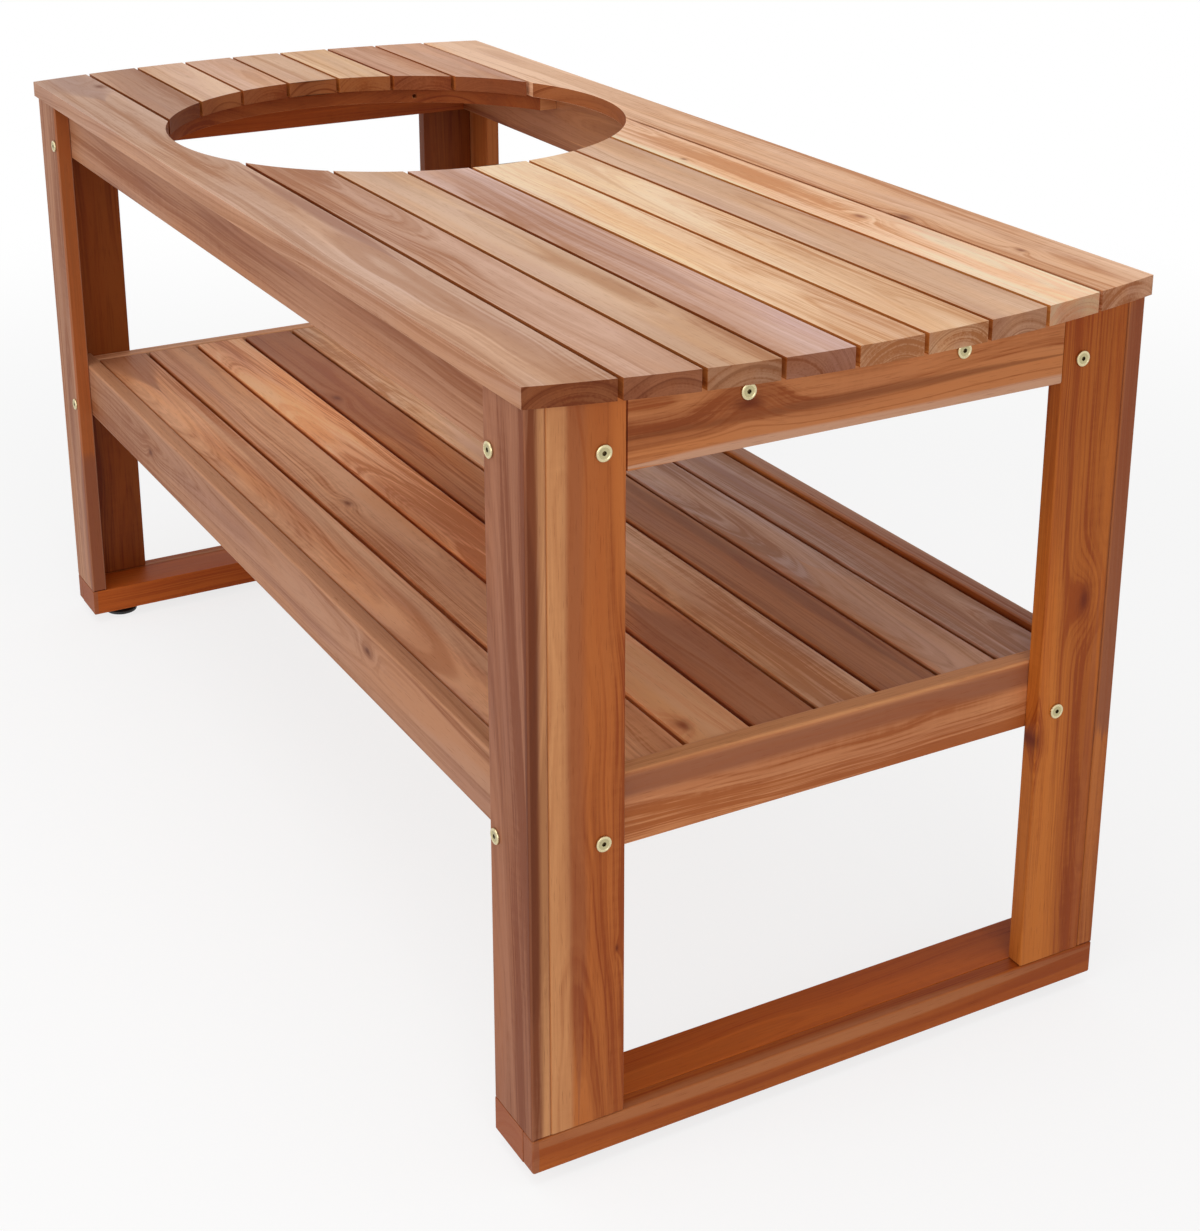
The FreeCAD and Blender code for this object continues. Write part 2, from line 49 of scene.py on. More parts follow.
def paint(red, green, blue):
    """A colour read off a tin, 0 to 255, as the shaders take it."""
    parts = [part / 255 for part in (red, green, blue)]
    return [part / 12.92 if part <= 0.04045 else ((part + 0.055) / 1.055) ** 2.4 for part in parts] + [1.0]


def add(tree, kind, inputs=(), **settings):
    """A new node with its settings, and its inputs linked or set."""
    made = tree.nodes.new(kind)
    for name, setting in settings.items():
        setattr(made, name, setting)
    for place, given in dict(inputs).items():
        if isinstance(given, bpy.types.NodeSocket):
            tree.links.new(given, made.inputs[place])
        elif given is not None:
            made.inputs[place].default_value = given
    return made


def oiled_acacia_group():
    """Acacia as a node group. It reads a point on the board: along the grain, across it, and through it, in metres."""
    tree = bpy.data.node_groups.new("oiled acacia", "ShaderNodeTree")
    vectors = ["Point", "Knot", "Second knot", "Streak", "Streak size", "Streak reach", "Band", "Band size",
               "Band reach"]
    floats = ["Seed", "Rings", "Pith across", "Pith under", "Drift", "Dive", "Wander", "Heart", "Blush", "Figure",
              "End grain", "Edge", "Eased wear and highlight"]
    colours = ["Light", "Middle", "Dark", "Heartwood", "Streak colour", "Band colour"]
    for names, kind in ((vectors, "NodeSocketVector"), (floats, "NodeSocketFloat"), (colours, "NodeSocketColor")):
        for name in names:
            tree.interface.new_socket(name=name, in_out="INPUT", socket_type=kind)
    tree.interface.new_socket(name="Colour", in_out="OUTPUT", socket_type="NodeSocketColor")
    tree.interface.new_socket(name="Roughness", in_out="OUTPUT", socket_type="NodeSocketFloat")
    tree.interface.new_socket(name="Normal", in_out="OUTPUT", socket_type="NodeSocketVector")
    given = tree.nodes.new("NodeGroupInput").outputs

    def work(operation, *numbers, clamp=False):
        return add(tree, "ShaderNodeMath", dict(enumerate(numbers)), operation=operation, use_clamp=clamp).outputs[0]

    def plus(*numbers):
        total = numbers[0]
        for number in numbers[1:]:
            total = work("ADD", total, number)
        return total

    def times(first, second):
        return work("MULTIPLY", first, second)

    def minus(first, second):
        return work("SUBTRACT", first, second)

    def distance(first, second):
        return work("SQRT", plus(times(first, first), times(second, second)))

    def bell(far, sharpness):
        return work("POWER", 2.718, times(times(far, far), -sharpness))

    def step(number, start, end):
        limits = {0: number, 1: start, 2: end, 3: 0.0, 4: 1.0}
        return add(tree, "ShaderNodeMapRange", limits, interpolation_type="SMOOTHSTEP").outputs[0]

    def mist(x, y, z, detail, roughness=0.5):
        point = add(tree, "ShaderNodeCombineXYZ", {0: x, 1: y, 2: z}).outputs[0]
        settings = {"Vector": point, "Scale": 1.0, "Detail": detail, "Roughness": roughness}
        return add(tree, "ShaderNodeTexNoise", settings)

    def blend(share, first, second, way="MIX"):
        made = add(tree, "ShaderNodeMix", {0: share, 6: first, 7: second}, data_type="RGBA", blend_type=way)
        return made.outputs[2]

    def split(vector):
        return add(tree, "ShaderNodeSeparateXYZ", {0: vector}).outputs

    along, across, through = split(given["Point"])
    seed = given["Seed"]
    # the grain wanders a few millimetres over a hand's length
    sway = mist(plus(times(along, 2.3), seed), plus(times(across, 7), seed), times(through, 7), 2.0)
    sway = add(tree, "ShaderNodeSeparateColor", {0: sway.outputs["Color"]}).outputs
    sway_across = times(minus(sway[0], 0.5), given["Wander"])
    sway_through = times(minus(sway[1], 0.5), given["Wander"])
    # the rings bulge round each knot, which is longer along the grain and ragged
    bulges, cores, halos = [], [], []
    ragged = mist(times(along, 90), times(across, 160), times(through, 160), 2.0).outputs["Fac"]
    for name in ("Knot", "Second knot"):
        knot_along, knot_across, knot_size = split(given[name])
        near = times(minus(along, knot_along), 0.5)
        aside = plus(minus(across, knot_across), times(sway_through, 0.3))
        far = work("DIVIDE", distance(near, aside), plus(knot_size, 0.00001))
        bulges.append(times(times(bell(far, 0.5), knot_size), 0.8))
        far = times(far, plus(0.6, times(ragged, 0.8)))
        cores.append(bell(far, 4.0))
        halos.append(times(bell(far, 0.8), 0.75))
    y = plus(minus(across, given["Pith across"]), times(along, given["Drift"]), times(sway_across, 2.0))
    z = plus(minus(through, given["Pith under"]), times(along, given["Dive"]), times(sway_through, 2.0))
    radius = plus(distance(y, z), *bulges)
    ring = work("DIVIDE", radius, given["Rings"])
    rings = mist(ring, plus(times(along, 0.9), seed), times(through, 4), 4.0, 0.68).outputs["Fac"]
    fine = mist(times(ring, 5.5), plus(times(along, 1.3), seed), times(through, 9), 2.0, 0.6).outputs["Fac"]
    slow = mist(plus(times(along, 1.4), times(seed, 3.7)), times(y, 15), times(z, 15), 1.0).outputs["Fac"]
    flush = mist(plus(times(along, 2.6), times(seed, 1.9)), times(y, 24), times(z, 24), 2.0).outputs
    flush = add(tree, "ShaderNodeSeparateColor", {0: flush["Color"]}).outputs
    silk = mist(times(along, 150), times(across, 30), times(through, 30), 2.0).outputs["Fac"]
    fibre = mist(times(along, 11), times(across, 430), times(through, 430), 2.0).outputs["Fac"]
    pores = mist(times(along, 42), times(across, 1000), times(through, 1000), 1.0).outputs["Fac"]
    pores = step(pores, 0.62, 0.74)
    heart = mist(plus(times(ring, 0.2), times(seed, 2.3)), times(along, 0.8), seed, 1.0).outputs["Fac"]
    heart = times(step(heart, 0.48, 0.62), given["Heart"])
    lines = mist(plus(times(ring, 1.7), times(seed, 5.1)), times(along, 0.7), seed, 2.0, 0.6).outputs["Fac"]
    lines = step(lines, 0.57, 0.72)
    tone = plus(times(minus(rings, 0.5), 1.3), times(minus(fine, 0.5), 0.6), times(minus(fibre, 0.5), 0.45),
                times(minus(slow, 0.5), 1.2), times(times(minus(silk, 0.5), step(flush[2], 0.42, 0.62)), 0.16))
    tone = work("ADD", times(tone, given["Figure"]), 0.5, clamp=True)
    colour = blend(step(tone, 0.1, 0.5), given["Dark"], given["Middle"])
    colour = blend(step(tone, 0.48, 0.85), colour, given["Light"])
    # orange and purple blushes drift along the board
    colour = blend(times(step(flush[0], 0.42, 0.68), given["Blush"]), colour, (1.0, 0.83, 0.58, 1), "MULTIPLY")
    colour = blend(times(step(flush[1], 0.48, 0.72), given["Blush"]), colour, (0.80, 0.74, 0.84, 1), "MULTIPLY")
    colour = blend(heart, colour, blend(plus(0.25, times(tone, 0.75)), given["Heartwood"], given["Dark"]))
    # a streak and a band of other colour, which narrow to a point at both ends
    for name in ("Streak", "Band"):
        aside, below, share = split(given[name])
        width, depth, soft = split(given[f"{name} size"])
        middle, half, taper = split(given[f"{name} reach"])
        reach = work("ABSOLUTE", plus(minus(along, middle), times(sway_across, 1.5)))
        reach = minus(1.0, step(reach, minus(half, taper), half))
        off = plus(minus(across, aside), times(sway_across, 0.7), times(minus(rings, 0.5), 0.006))
        off = work("DIVIDE", off, width)
        under = work("DIVIDE", minus(through, below), depth)
        off = work("DIVIDE", distance(off, under), plus(reach, 0.001))
        inside = minus(1.0, step(off, minus(1.0, soft), plus(1.0, soft)))
        stripe = blend(times(minus(1.0, tone), 0.45), given[f"{name} colour"], given["Dark"])
        colour = blend(times(inside, share), colour, stripe)
    colour = blend(times(lines, 0.6), colour, given["Dark"])
    halo = work("ADD", halos[0], halos[1], clamp=True)
    core = work("ADD", cores[0], cores[1], clamp=True)
    colour = blend(times(halo, minus(1.2, tone)), colour, given["Dark"])
    colour = blend(core, colour, given["Heartwood"])
    colour = blend(times(pores, 0.3), colour, given["Heartwood"])
    # oil soaks in where the wood is cut across; the sawn edges are painted a deep orange as shade in the gaps between
    # boards, and the eased edges are painted paler, as wear and as a painted highlight
    colour = blend(given["Edge"], colour, (0.70, 0.36, 0.12, 1), "MULTIPLY")
    colour = blend(times(given["Eased wear and highlight"], 0.3), colour, given["Light"])
    soaked = blend(times(plus(rings, lines), 0.5), (0.46, 0.24, 0.12, 1), (0.28, 0.10, 0.02, 1))
    colour = blend(given["End grain"], colour, soaked, "MULTIPLY")
    height = plus(times(fibre, 0.6), times(rings, 0.5), times(pores, -0.8))
    bump = add(tree, "ShaderNodeBump", {"Strength": 0.28, "Distance": 0.0004, "Height": height})
    gloss = plus(0.46, times(fibre, 0.16), times(pores, 0.12), times(given["End grain"], 0.14))
    leaving = tree.nodes.new("NodeGroupOutput")
    tree.links.new(colour, leaving.inputs["Colour"])
    tree.links.new(gloss, leaving.inputs["Roughness"])
    tree.links.new(bump.outputs[0], leaving.inputs["Normal"])
    return tree


acacia = oiled_acacia_group()

TONES = {
    # the colour of each board's plain wood under the oil
    "straw": paint(230, 190, 152),
    "honey": paint(216, 172, 138),
    "tan": paint(208, 165, 138),
    "mauve": paint(205, 168, 152),
    "biscuit": paint(206, 148, 108),
    "rosy": paint(192, 147, 120),
    "sapwood": paint(214, 152, 100),
    "fawn": paint(187, 131, 97),
    "caramel": paint(194, 120, 70),
    "amber": paint(190, 108, 50),
    "marmalade": paint(182, 100, 36),
    "nut": paint(186, 122, 78),
    "smoke": paint(150, 118, 112),
    "russet": paint(157, 98, 67),
    "chestnut": paint(160, 90, 52),
    "copper": paint(168, 84, 28),
    "plum": paint(134, 78, 56),
    "ink": paint(92, 36, 6),
}


def shaded(colour, red, green, blue):
    """The colour lightened or darkened, each part by its own share."""
    return [min(part * share, 0.95) for part, share in zip(colour, (red, green, blue))] + [1.0]


def new_material(name):
    """A new material with its node tree and its shader."""
    material = bpy.data.materials.new(name)
    material.use_nodes = True
    return material, material.node_tree, material.node_tree.nodes["Principled BSDF"]


def wood(name, low, high, tone, seed, shade=1.0, heart=0.3, blush=0.5, edge=0.0, figure=1.0, rings=0.0075,
         pith=(0.012, -0.045), drift=0.01, dive=0.0, wander=0.009, knot=(0, 0, 0), knot_two=(0, 0, 0),
         streak=(0, 0, 0), streak_size=(0.01, 1, 0.35), streak_reach=(0, 9, 0.1), streak_tone="ink",
         band=(0, 0, 0), band_size=(0.01, 1, 0.35), band_reach=(0, 9, 0.1), band_tone="ink"):
    """Oiled acacia for one board. Its grain runs along the longest side of its box, and its growth rings turn about a
    pith that lies beside the board. pith, knots, streak and band are measured from the board's middle."""
    material, tree, shader = new_material(name)
    shader.inputs["Specular IOR Level"].default_value = 0.18
    middle = (Vector(low) + Vector(high)) / 2
    order = sorted(range(3), key=lambda axis: low[axis] - high[axis])
    place = add(tree, "ShaderNodeMapping", {0: add(tree, "ShaderNodeTexCoord").outputs["Object"], 1: tuple(-middle)})
    parts = add(tree, "ShaderNodeSeparateXYZ", {0: place.outputs[0]}).outputs
    point = add(tree, "ShaderNodeCombineXYZ", {slot: parts[axis] for slot, axis in enumerate(order)}).outputs[0]
    ends, edges, eased = (add(tree, "ShaderNodeAttribute", attribute_name=kind).outputs["Fac"]
                          for kind in ("end_grain", "sawn_edge", "eased_edge"))
    # painted shade in the gaps: the sawn edges and six tenths of the eased rounding, times edge
    edges = add(tree, "ShaderNodeMath", {0: eased, 1: 0.6, 2: edges}, operation="MULTIPLY_ADD").outputs[0]
    edges = add(tree, "ShaderNodeMath", {0: edges, 1: edge}, operation="MULTIPLY").outputs[0]
    # the rest of the eased rounding is painted paler, as wear and as a painted highlight
    eased = add(tree, "ShaderNodeMath", {0: eased, 1: 1.0 - edge}, operation="MULTIPLY").outputs[0]
    mid = shaded(TONES[tone], shade, shade, shade)
    light, dark = shaded(mid, 1.18, 1.27, 1.38), shaded(mid, 0.68, 0.48, 0.30)
    core = shaded(mid, 0.33, 0.16, 0.07)
    grain = add(tree, "ShaderNodeGroup", node_tree=acacia)
    for place_name, setting in {
        "Point": point, "Knot": knot, "Second knot": knot_two, "Streak": streak, "Streak size": streak_size,
        "Streak reach": streak_reach, "Streak colour": TONES[streak_tone], "Band": band, "Band size": band_size,
        "Band reach": band_reach, "Band colour": TONES[band_tone], "Seed": seed, "Rings": rings, "Pith across": pith[0],
        "Pith under": pith[1], "Drift": drift, "Dive": dive, "Wander": wander, "Heart": heart, "Blush": blush,
        "Figure": figure, "End grain": ends, "Edge": edges, "Eased wear and highlight": eased, "Light": light, "Middle": mid, "Dark": dark,
        "Heartwood": core,
    }.items():
        if isinstance(setting, bpy.types.NodeSocket):
            tree.links.new(setting, grain.inputs[place_name])
        else:
            grain.inputs[place_name].default_value = setting
    tree.links.new(grain.outputs["Colour"], shader.inputs["Base Color"])
    tree.links.new(grain.outputs["Roughness"], shader.inputs["Roughness"])
    tree.links.new(grain.outputs["Normal"], shader.inputs["Normal"])
    return material


def alone(piece):
    """Leaves this piece the only one selected."""
    bpy.ops.object.select_all(action="DESELECT")
    piece.select_set(True)
    bpy.context.view_layer.objects.active = piece
    return piece


def drum(name, radius, low, high, axis="z", corners=64):
    """A round cutter from the point low to the point high, upright or along x."""
    bpy.ops.object.select_all(action="DESELECT")
    turn = (0, math.pi / 2, 0) if axis == "x" else (0, 0, 0)
    middle, length = (Vector(low) + Vector(high)) / 2, (Vector(high) - Vector(low)).length
    bpy.ops.mesh.primitive_cylinder_add(vertices=corners, radius=radius, depth=length, location=middle, rotation=turn)
    cutter = bpy.context.object
    cutter.name = name
    return cutter


def carve(piece, cutter, way="DIFFERENCE"):
    """Cuts the cutter out of the piece, keeps what both share or joins the two, and takes the cutter away."""
    change = piece.modifiers.new("carve", "BOOLEAN")
    change.object, change.operation, change.solver = cutter, way, "EXACT"
    alone(piece)
    bpy.ops.object.modifier_apply(modifier=change.name)
    bpy.data.objects.remove(cutter)


# edges sharper than this are eased, and the table's two ends begin this far from its middle
SHARP, ENDS_FROM = math.radians(40), 0.6


def plank(node, slot, tone, seed, cuts=(), easing=0.002, end_soak=1.0, **grain):
    """A board in the place of its CAD node: a block cut to size and carved, with its edges eased and its faces
    marked. end_soak is the share of oil that the cuts across the grain take up at the table's two ends."""
    low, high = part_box(node)
    bpy.ops.object.select_all(action="DESELECT")
    bpy.ops.mesh.primitive_cube_add(size=1, location=(low + high) / 2)
    board = bpy.context.object
    board.name = f"{node}_wood"
    board.data.name = board.name
    bpy.ops.transform.resize(value=high - low)
    bpy.ops.object.transform_apply(location=True, rotation=False, scale=True)
    length, width, thickness = sorted(range(3), key=lambda axis: low[axis] - high[axis])
    for cutter, way in cuts:
        carve(board, cutter, way)
    ease = board.modifiers.new("eased edges", "BEVEL")
    ease.width, ease.segments, ease.limit_method, ease.angle_limit = easing, 3, "ANGLE", SHARP
    ease.harden_normals = True
    alone(board)
    bpy.ops.object.shade_smooth_by_angle(angle=SHARP)
    bpy.ops.object.modifier_apply(modifier=ease.name)
    # a face is cut across the grain, or a sawn edge at the side of the board, or the rounding between two faces
    kinds = {"end_grain": [], "sawn_edge": [], "eased_edge": []}
    for face in board.data.polygons:
        turned = [abs(part) for part in face.normal]
        inside = min(high[width] - face.center[width], face.center[width] - low[width])
        sawn = turned[width] > 0.999 and inside < 0.0005
        kinds["sawn_edge"].append(float(sawn))
        cut_across = turned[length] > 0.6 or (turned[thickness] < 0.05 and not sawn)
        kinds["end_grain"].append(cut_across * (end_soak if abs(face.center.x) > ENDS_FROM else 1.0))
        kinds["eased_edge"].append(float(turned[length] < 0.6 and 0.1 < turned[thickness] < 0.95))
    for kind, values in kinds.items():
        board.data.attributes.new(kind, "FLOAT", "FACE").data.foreach_set("value", values)
    board.data.materials.append(wood(board.name, low, high, tone, seed, **grain))
    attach(board, "frame")
    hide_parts(node)


LEG_SIDES = {
    "near_left": dict(tone="russet", seed=3.1, shade=0.9, heart=0.2, blush=0.5, figure=1.8, rings=0.011,
                      pith=(-0.042, 0.040), drift=0.0, dive=-0.06,
                      streak=(0.041, -0.011, 0.9), streak_size=(0.006, 0.012, 0.3), streak_reach=(0, 0.34, 0.16),
                      band=(0.036, 0.009, 0.85), band_size=(0.006, 0.009, 0.3), band_tone="sapwood"),
    "near_right": dict(tone="amber", seed=8.4, heart=0.4, shade=0.82, figure=1.9, knot=(-0.16, 0.012, 0.009),
                       streak=(0.037, 0, 0.75), streak_size=(0.010, 1, 0.5),
                       streak_reach=(0.13, 0.27, 0.12), streak_tone="plum"),
    "far_left": dict(tone="fawn", seed=5.2, shade=0.85, figure=1.9,
                     streak=(0.039, 0, 0.9), streak_size=(0.004, 0.02, 0.4), streak_reach=(0.02, 0.5, 0.2),
                     streak_tone="copper", band=(0.036, 0, 0.8), band_size=(0.012, 1, 0.5),
                     band_reach=(-0.26, 0.15, 0.1), band_tone="plum"),
    # the far right side board's low shade paints the shade under the top into the wood
    "far_right": dict(tone="amber", seed=9.7, shade=0.75, figure=1.9, heart=0.4, streak=(-0.02, 0, 0.6),
                      streak_size=(0.010, 1, 0.4), streak_reach=(0.1, 0.4, 0.3), streak_tone="nut"),
}
for corner, look in LEG_SIDES.items():
    plank(f"{corner}_leg_side_board", "frame_boards", **look)


# Leg end boards: four boards of the same stock across the ends, each butted against its side board.
# A screw from under the runner's front strip holds each foot end, and two bolts hold the rails.

LEG_ENDS = {
    "near_left": dict(tone="amber", seed=12.6, shade=0.92, figure=1.9, heart=0.4, rings=0.009, pith=(-0.02, -0.05),
                      wander=0.02, dive=0.02,
                      knot=(-0.181, 0.031, 0.004), streak=(-0.034, 0, 0.85), streak_size=(0.015, 1, 0.25),
                      streak_tone="sapwood", band=(-0.012, 0, 0.4), band_size=(0.010, 1, 0.6),
                      band_reach=(0.1, 0.5, 0.3), band_tone="plum"),
    "near_right": dict(tone="marmalade", seed=17.3, figure=1.8, heart=0.3, pith=(0.03, -0.05),
                       knot=(0.050, 0.010, 0.015), knot_two=(-0.097, -0.040, 0.011),
                       streak=(0.030, 0, 0.45), streak_size=(0.005, 1, 0.6),
                       streak_reach=(-0.18, 0.3, 0.25), streak_tone="chestnut", band=(0.041, 0, 0.7),
                       band_size=(0.004, 1, 0.5), band_tone="ink"),
    # the far end boards stand in shade under the top, and their low shades paint that shade into the wood
    "far_left": dict(tone="copper", seed=21.9, shade=0.6, figure=2.0, heart=0.6),
    "far_right": dict(tone="copper", seed=25.2, shade=0.5, figure=2.0, heart=0.7),
}
for corner, look in LEG_ENDS.items():
    plank(f"{corner}_leg_end_board", "frame_boards", **look)


# Runners: under each pair of legs a rear member with a front strip glued to it, both acacia.
# The strips have two recessed screws each, and the rear members a bore and a nut over each foot.

UNDER_RUNNERS = 0.010
FRONT_SCREW_X, FRONT_SCREW_Y, RECESS_RADIUS, RECESS_TOP = 0.73, 0.2785, 0.0042, 0.0311
FOOT_X, FOOT_Y = 0.698, 0.2875
NUT_RADIUS, NUT_TOP, BORE_RADIUS, BORE_BOTTOM, BORE_TOP = 0.00605, 0.030, 0.0045, 0.029, 0.046
# the runners' left ends are a dull brown
LEFT_ENDS = dict(end_soak=0.1, band=(0, 0, 0.8), band_size=(0.1, 1, 0.3), band_reach=(-0.3375, 0.007, 0.003),
                 band_tone="russet")
for end, way in (("near", 1), ("far", -1)):
    recesses, bores = [], []
    for side in (1, -1):
        spot = (way * FRONT_SCREW_X, side * FRONT_SCREW_Y)
        recess = drum("screw recess", RECESS_RADIUS, (*spot, UNDER_RUNNERS), (*spot, RECESS_TOP))
        recesses.append((recess, "DIFFERENCE"))
    plank(f"{end}_runner_front", "frame_boards", "copper", 31.4 + way, cuts=recesses, heart=0.35, shade=0.95,
          wander=0.004, streak=(0.0125, 0.01, 0.75), streak_size=(0.008, 0.012, 0.25), streak_reach=(-0.05, 0.5, 0.4),
          streak_tone="nut", **LEFT_ENDS)
    for side in (1, -1):
        foot = (way * FOOT_X, side * FOOT_Y)
        pocket = drum("nut pocket", NUT_RADIUS, (*foot, UNDER_RUNNERS), (*foot, NUT_TOP), corners=6)
        bore = drum("stud bore", BORE_RADIUS, (*foot, BORE_BOTTOM), (*foot, BORE_TOP), corners=32)
        bores += [(pocket, "DIFFERENCE"), (bore, "DIFFERENCE")]
    plank(f"{end}_runner_rear", "frame_boards", "copper", 35.8 + way, cuts=bores, heart=0.2, shade=1.15, rings=0.006,
          **LEFT_ENDS)


# Long aprons, end aprons and end rails: the upper ring of the frame, 75 x 20 mm boards on edge.
# The long aprons and the rails carry the insert nuts, and the end aprons lie flush between the end boards.

plank("left_apron", "frame_boards", "fawn", 41.7, shade=0.88, figure=1.4, heart=0.2, blush=0.6, drift=0.004, dive=0.008,
      wander=0.006, pith=(0.03, 0.05))
plank("right_apron", "frame_boards", "nut", 44.1, shade=0.8, figure=1.9, heart=0.4, drift=0.006, dive=-0.02,
      streak=(-0.020, 0, 0.6), streak_size=(0.008, 1, 0.5), streak_reach=(0.2, 0.6, 0.4), streak_tone="sapwood",
      knot=(0.21, 0.010, 0.008))
plank("near_end_apron", "frame_boards", "caramel", 47.9, heart=0.5, shade=0.87, figure=2.0, rings=0.006,
      pith=(0.02, -0.03), wander=0.012,
      # its knot pattern, dark at the middle, sits just under the left bolt's head
      knot=(-0.116, 0.004, 0.015), streak=(-0.034, 0, 0.7), streak_size=(0.005, 1, 0.4), streak_reach=(0.1, 0.4, 0.2),
      streak_tone="tan", band=(-0.008, 0, 0.5), band_size=(0.004, 1, 0.6), band_reach=(-0.02, 0.35, 0.3),
      band_tone="ink")
plank("far_end_apron", "frame_boards", "caramel", 51.3, shade=0.85, figure=1.9, heart=0.4, wander=0.012,
      knot=(0.09, -0.006, 0.009))
for end, seed in (("near", 53.2), ("far", 55.6)):
    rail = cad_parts[f"{end}_top_rail"]
    for place in rail.material_slots:
        place.material = wood(rail.name, *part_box(rail.name), "copper", seed)


# Shelf rails: four 75 x 20 mm boards on edge round the shelf, behind the legs' boards, with their bolts from outside.
# The shelf's slats lie 5 mm below the top edges of all but the far rail.

plank("left_shelf_rail", "frame_boards", "fawn", 61.2, shade=0.8, figure=1.6, heart=0.2, blush=0.6, rings=0.008,
      dive=0.02, streak=(0.041, 0, 0.85), streak_size=(0.007, 1, 0.4), streak_tone="biscuit",
      knot=(0.335, 0.016, 0.009), knot_two=(-0.39, -0.004, 0.008))
plank("right_shelf_rail", "frame_boards", "amber", 63.9, heart=0.3, shade=0.85, figure=1.9, drift=-0.004,
      streak=(0.041, 0, 0.85), streak_size=(0.0055, 1, 0.35), streak_tone="rosy",
      band=(0.012, 0, 0.6), band_size=(0.012, 1, 0.6), band_reach=(-0.1, 0.7, 0.4), band_tone="plum")
plank("near_shelf_rail", "frame_boards", "nut", 66.1, heart=0.2, figure=1.5, rings=0.006, shade=1.22,
      streak=(0.022, 0, 0.8), streak_size=(0.012, 1, 0.4), streak_tone="plum",
      band=(0.041, 0, 1.0), band_size=(0.0055, 1, 0.3), band_tone="sapwood")
# the far rail is planed level with the slats, so no lip shows there
SHELF_HEIGHT, FAR_RAIL_X, LIP_BLOCK = 0.394, -0.71, (0.1, 1, 0.1)
bpy.ops.object.select_all(action="DESELECT")
bpy.ops.mesh.primitive_cube_add(size=1, location=(FAR_RAIL_X, 0, SHELF_HEIGHT + LIP_BLOCK[2] / 2))
lip = bpy.context.object
bpy.ops.transform.resize(value=LIP_BLOCK)
plank("far_shelf_rail", "frame_boards", "biscuit", 68.8, cuts=[(lip, "DIFFERENCE")], end_soak=0.0, shade=1.05,
      figure=1.5, heart=0.2, knot=(-0.13, 0.008, 0.008))


# Shelf: eight long slats of 69 x 20 mm with 4.8 mm between them, screwed down to three battens from below.
# The five on the right are darker than the three on the left, most of them with more heartwood.

SHELF = [
    dict(tone="biscuit", heart=0.2, shade=1.12, rings=0.012, dive=0.04, streak=(0.018, 0, 0.5),
         streak_size=(0.010, 1, 0.5), streak_reach=(0.1, 0.6, 0.3), streak_tone="honey", band=(0, 0, 0.6),
         band_size=(0.05, 1, 0.5), band_reach=(-0.75, 0.25, 0.24), band_tone="plum"),
    dict(tone="biscuit", heart=0.2, shade=1.05, knot=(-0.015, -0.008, 0.009)),
    dict(tone="biscuit", heart=0.2, shade=1.46, dive=-0.03, knot=(0.66, -0.02, 0.012), streak=(0, 0, 0.5),
         streak_size=(0.05, 1, 0.5), streak_reach=(0.62, 0.22, 0.18), streak_tone="sapwood"),
    dict(tone="nut", heart=0.5, shade=1.08, knot=(-0.375, -0.02, 0.012), streak=(0, 0, 0.5),
         streak_size=(0.05, 1, 0.5), streak_reach=(-0.5, 0.4, 0.25), streak_tone="plum", band=(0, 0, 0.45),
         band_size=(0.05, 1, 0.5), band_reach=(0.62, 0.25, 0.18), band_tone="plum"),
    dict(tone="honey", heart=0.25, shade=1.1, rings=0.011),
    dict(tone="nut", heart=0.35, shade=0.82, band=(0.02, 0, 0.4), band_size=(0.008, 1, 0.5),
         band_reach=(0.2, 0.6, 0.4)),
    dict(tone="mauve", heart=0.2, shade=0.92, dive=0.03, streak=(-0.03, 0, 0.5), streak_size=(0.006, 1, 0.5),
         streak_reach=(0.5, 0.3, 0.2), streak_tone="caramel", band=(0, 0, 0.5), band_size=(0.05, 1, 0.5),
         band_reach=(0.6, 0.22, 0.16), band_tone="sapwood"),
    dict(tone="mauve", heart=0.35, shade=0.98, rings=0.006, band=(-0.006, 0, 0.5), band_size=(0.009, 1, 0.6),
         band_reach=(0.2, 0.6, 0.3), band_tone="plum"),
]
for number, look in enumerate(SHELF, 1):
    way = (-1) ** number
    plank(f"shelf_slat_{number}", "shelf_boards", seed=70.3 + 2.7 * number, figure=1.7, blush=0.7, edge=1.0,
          easing=0.0026, drift=0.006 * way, pith=(0.02 * way, -0.04), **look)


# Top: nine boards lengthwise, with a round cut-out for the grill at the far end and both ends cut to one bow.
# The seven slats are each one long and one short board; the two edge boards have shallow bites of the same circle.

HOLE_X, HOLE_RADIUS = -0.27, 0.292
BOW_RADIUS, BOW_MIDDLE = 1.3182, 0.5293
CUT_FROM, CUT_TO = 0.74, 0.82


def hole_cutter():
    return drum("grill cut-out", HOLE_RADIUS, (HOLE_X, 0, CUT_FROM), (HOLE_X, 0, CUT_TO), corners=256), "DIFFERENCE"


def bow_cutter(way):
    middle = -way * BOW_MIDDLE
    return drum("bow", BOW_RADIUS, (middle, 0, CUT_FROM), (middle, 0, CUT_TO), corners=720), "INTERSECT"


EDGE_BOARDS = {
    "left": dict(tone="tan", seed=101.5, heart=0.1, shade=0.86, figure=1.2, knot=(-0.665, 0.030, 0.012),
                 streak=(0.030, 0, 0.6), streak_size=(0.009, 1, 0.5), streak_reach=(0.12, 0.26, 0.2),
                 streak_tone="plum", band=(0.008, 0, 0.55), band_size=(0.04, 1, 0.6),
                 band_reach=(-0.69, 0.14, 0.13), band_tone="smoke"),
    "right": dict(tone="honey", seed=104.2, heart=0.1, shade=1.17, figure=1.2, end_soak=0.6,
                  knot=(0.612, -0.014, 0.007), knot_two=(0.448, -0.036, 0.013)),
}
for side, look in EDGE_BOARDS.items():
    plank(f"{side}_edge_board", "top_boards", cuts=[hole_cutter(), bow_cutter(1), bow_cutter(-1)], edge=0.35,
          easing=0.003, **look)

